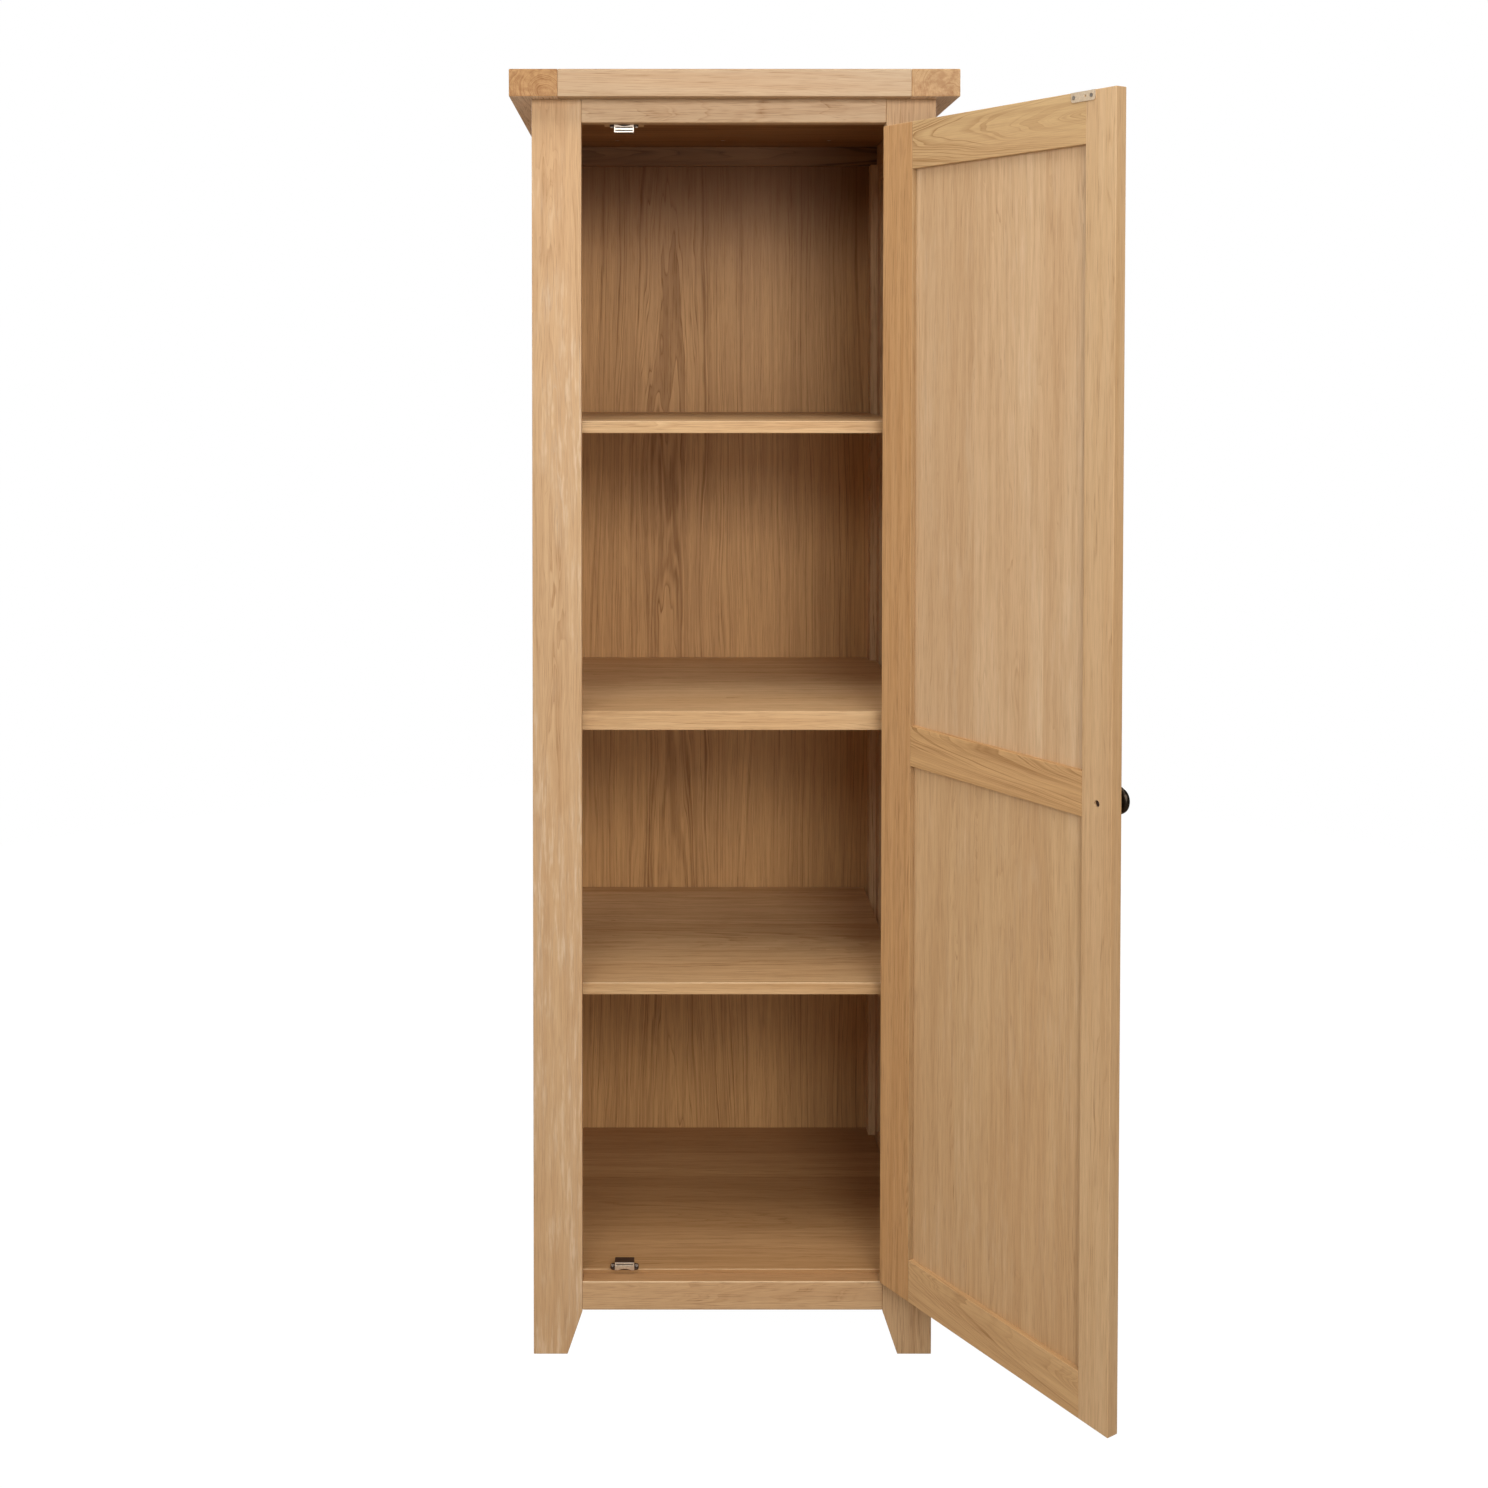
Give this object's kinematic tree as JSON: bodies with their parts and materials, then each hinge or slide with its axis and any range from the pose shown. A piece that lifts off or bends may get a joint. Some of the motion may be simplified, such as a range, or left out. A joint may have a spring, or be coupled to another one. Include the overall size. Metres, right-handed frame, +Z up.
{
  "type": "pantry cabinet",
  "caption": "Tall free-standing oak pantry cabinet with an overhanging top, tapered feet, inner shelves and a framed, panelled door standing open on butt hinges.",
  "frame": {"origin": "on the floor, at the middle of the rectangle that the four feet stand in", "axes": "+Z up, -Y towards the person who opens the door, +X towards the hinged side of the door"},
  "size_m": [0.8117, 0.8939, 1.89],
  "materials": {
    "oak_top": "satin lacquered oak, grain along the board",
    "oak_end_blocks": "satin lacquered oak, darker figured end blocks",
    "oak_frame": "satin lacquered oak",
    "oak_door": "satin lacquered oak",
    "oak_veneer": "satin lacquered straight-grained oak veneer",
    "oak_inside": "satin lacquered oak, a little darker",
    "hinge_brass": "satin brass",
    "bright_steel": "bright zinc-plated steel",
    "nickel": "satin nickel plate",
    "dark_bronze": "dark bronze lacquer",
    "catch_plastic": "dark brown moulded plastic",
    "magnet_ferrite": "dull ferrite"
  },
  "bodies": {
    "cabinet": {"back_panel": "oak_veneer", "back_top_rail": "oak_inside", "catch_block": "oak_inside", "catch_case_bottom": "catch_plastic", "catch_case_top": "catch_plastic", "catch_magnets": "magnet_ferrite", "catch_pole_plates": "nickel", "catch_screws": "bright_steel", "ceiling_panel": "oak_inside", "fixed_shelf": "oak_inside", "fixed_shelf_cleat_left": "oak_inside", "fixed_shelf_cleat_right": "oak_inside", "floor_cleat_left": "oak_inside", "floor_cleat_right": "oak_inside", "floor_panel": "oak_inside", "front_bottom_rail": "oak_frame", "front_stile_left": "oak_frame", "front_stile_right": "oak_frame", "front_top_rail": "oak_frame", "hinge_frame_leaf_bottom": "hinge_brass", "hinge_frame_leaf_middle": "hinge_brass", "hinge_frame_leaf_top": "hinge_brass", "hinge_frame_screws": "hinge_brass", "hinge_pins": "hinge_brass", "lower_shelf": "oak_inside", "shelf_batten_front_left": "oak_inside", "shelf_batten_front_right": "oak_inside", "shelf_batten_rear_left": "oak_inside", "shelf_batten_rear_right": "oak_inside", "shelf_pins": "bright_steel", "side_bottom_rail_left": "oak_frame", "side_bottom_rail_right": "oak_frame", "side_front_stile_left": "oak_frame", "side_front_stile_right": "oak_frame", "side_panel_left": "oak_veneer", "side_panel_right": "oak_veneer", "side_rear_stile_left": "oak_frame", "side_rear_stile_right": "oak_frame", "side_top_rail_left": "oak_frame", "side_top_rail_right": "oak_frame", "top_board": "oak_top", "top_end_block_left": "oak_end_blocks", "top_end_block_right": "oak_end_blocks", "top_screws": "bright_steel", "upper_shelf": "oak_inside"},
    "door": {"door_bottom_rail": "oak_door", "door_free_stile": "oak_door", "door_hinge_stile": "oak_door", "door_lower_panel": "oak_veneer", "door_middle_rail": "oak_door", "door_top_rail": "oak_door", "door_upper_panel": "oak_veneer", "hinge_door_leaf_bottom": "hinge_brass", "hinge_door_leaf_middle": "hinge_brass", "hinge_door_leaf_top": "hinge_brass", "hinge_door_screws": "hinge_brass", "knob": "dark_bronze", "knob_screw": "bright_steel", "strike_plate": "nickel", "strike_screws": "bright_steel"}
  },
  "joints": [
    {"name": "door_hinge", "type": "hinge", "parent": "cabinet", "child": "door", "pos_m": [0.2256, -0.2522, 0.9615], "axis": [0, 0, 1], "range_deg": [-123, 2]}
  ]
}
